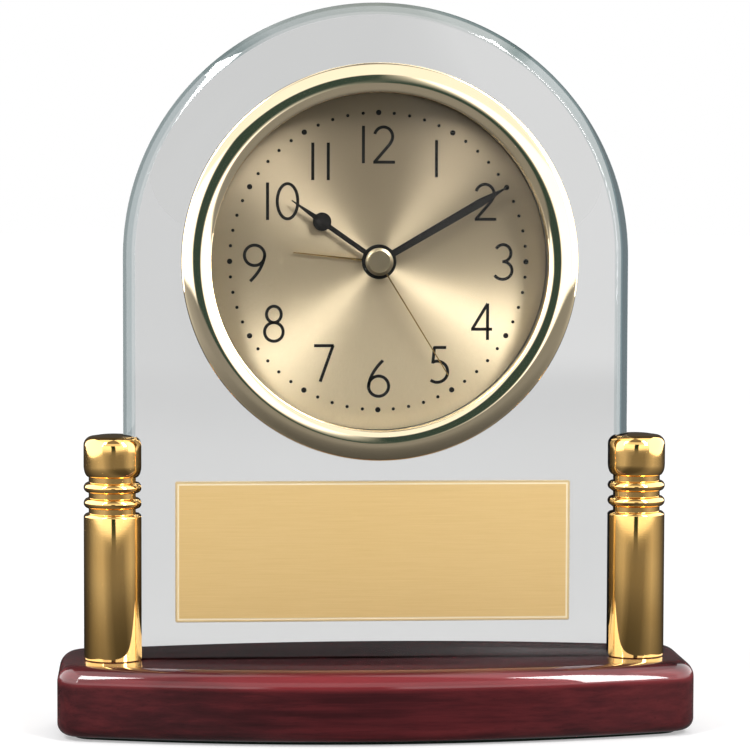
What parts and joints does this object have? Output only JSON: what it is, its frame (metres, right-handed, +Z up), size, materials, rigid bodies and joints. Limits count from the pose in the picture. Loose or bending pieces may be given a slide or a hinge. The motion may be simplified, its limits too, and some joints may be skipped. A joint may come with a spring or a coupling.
{
  "type": "glass desk clock",
  "caption": "Desk clock with an arched bevelled glass plate between turned brass posts on a bowed rosewood base, a round gold quartz alarm insert and a bare gold engraving plate.",
  "frame": {"origin": "middle of the felt's underside, on the surface that the clock stands on", "axes": "+X to the clock's right as seen from the front, +Y to its back, +Z up"},
  "size_m": [0.165, 0.06, 0.189],
  "materials": {
    "rosewood": "high gloss piano lacquer over rosewood figure",
    "felt": "matt felt",
    "steel": "zinc plated",
    "post_brass": "polished and lacquered",
    "glass": "clear with a green edge, polished",
    "plate_gold": "satin gold",
    "bezel_gold": "polished gold plate",
    "crystal": "clear, polished",
    "dial_gold": "radially brushed champagne anodising",
    "hand_gold": "polished gold",
    "hand_black": "gloss black paint",
    "black_plastic": "moulded, fine matt texture",
    "rubber": "matt",
    "battery_wrap": "plain shrink sleeve",
    "contact_steel": "nickel plated",
    "board": "solder mask",
    "copper": "enamelled copper wire",
    "magnet": "sintered magnet",
    "white_plastic": "moulded acetal",
    "knob_plastic": "moulded, ribbed rim",
    "switch_plastic": "moulded"
  },
  "bodies": {
    "root": {"base": "rosewood", "felt_pad": "felt", "post_screws": "steel", "post_left": "post_brass", "post_right": "post_brass", "glass_panel": "glass", "engraving_plate": "plate_gold", "bezel": "bezel_gold", "crystal": "crystal", "dial": "dial_gold", "insert_case": "black_plastic", "grip_ring": "rubber", "movement_case": "black_plastic", "movement_cover": "black_plastic", "movement_screws": "steel", "battery": "battery_wrap", "contact_positive": "contact_steel", "contact_negative": "contact_steel", "circuit_board": "board", "quartz_crystal": "contact_steel", "buzzer": "black_plastic", "stator": "steel", "coil_core": "steel", "coil_winding": "copper"},
    "minute_train": {"centre_wheel": "white_plastic", "minute_hand": "hand_black"},
    "hour_train": {"hour_wheel": "white_plastic", "hour_hand": "hand_black"},
    "seconds_train": {"fourth_wheel": "white_plastic", "second_hand": "hand_gold"},
    "third_train": {"third_wheel": "white_plastic"},
    "fifth_train": {"fifth_wheel": "white_plastic"},
    "rotor_body": {"rotor": "magnet"},
    "time_setting": {"motion_wheel": "white_plastic", "time_set_knob": "knob_plastic"},
    "alarm_display": {"alarm_wheel": "white_plastic", "alarm_hand": "hand_gold"},
    "alarm_setting": {"alarm_pinion": "white_plastic", "alarm_set_knob": "knob_plastic"},
    "switch_slider": {"alarm_switch": "switch_plastic"}
  },
  "joints": [
    {"name": "minute_turn", "type": "hinge", "parent": "root", "child": "minute_train", "pos_m": [0.0005, 0.0061, 0.1223], "axis": [0, 1, 0], "continuous": true},
    {"name": "hour_turn", "type": "hinge", "parent": "root", "child": "hour_train", "pos_m": [0.0005, 0.0033, 0.1223], "axis": [0, 1, 0], "continuous": true},
    {"name": "seconds_turn", "type": "hinge", "parent": "root", "child": "seconds_train", "pos_m": [0.0005, 0.0089, 0.1223], "axis": [0, 1, 0], "continuous": true},
    {"name": "third_wheel_turn", "type": "hinge", "parent": "root", "child": "third_train", "pos_m": [0.00509, 0.0075, 0.13025], "axis": [0, 1, 0], "continuous": true},
    {"name": "fifth_wheel_turn", "type": "hinge", "parent": "root", "child": "fifth_train", "pos_m": [-0.0043, 0.0103, 0.13061], "axis": [0, 1, 0], "continuous": true},
    {"name": "rotor_turn", "type": "hinge", "parent": "root", "child": "rotor_body", "pos_m": [-0.01036, 0.0103, 0.13411], "axis": [0, 1, 0], "continuous": true},
    {"name": "time_knob_turn", "type": "hinge", "parent": "root", "child": "time_setting", "pos_m": [0.0101, 0.0179, 0.1223], "axis": [0, 1, 0], "continuous": true},
    {"name": "alarm_hand_turn", "type": "hinge", "parent": "root", "child": "alarm_display", "pos_m": [0.0005, 0.0019, 0.1223], "axis": [0, 1, 0], "continuous": true},
    {"name": "alarm_knob_turn", "type": "hinge", "parent": "root", "child": "alarm_setting", "pos_m": [-0.00965, 0.0179, 0.1223], "axis": [0, 1, 0], "continuous": true},
    {"name": "alarm_switch_slide", "type": "slide", "parent": "root", "child": "switch_slider", "axis": [0, 0, 1], "range_m": [0, 0.003]}
  ],
  "couplings": [
    {"joint": "hour_turn", "follows": "minute_turn", "ratio": 0.083333},
    {"joint": "seconds_turn", "follows": "minute_turn", "ratio": 60},
    {"joint": "third_wheel_turn", "follows": "minute_turn", "ratio": -8},
    {"joint": "fifth_wheel_turn", "follows": "minute_turn", "ratio": -300},
    {"joint": "rotor_turn", "follows": "minute_turn", "ratio": 1800},
    {"joint": "time_knob_turn", "follows": "minute_turn", "ratio": -0.33333},
    {"joint": "alarm_hand_turn", "follows": "alarm_knob_turn", "ratio": -0.31818}
  ]
}
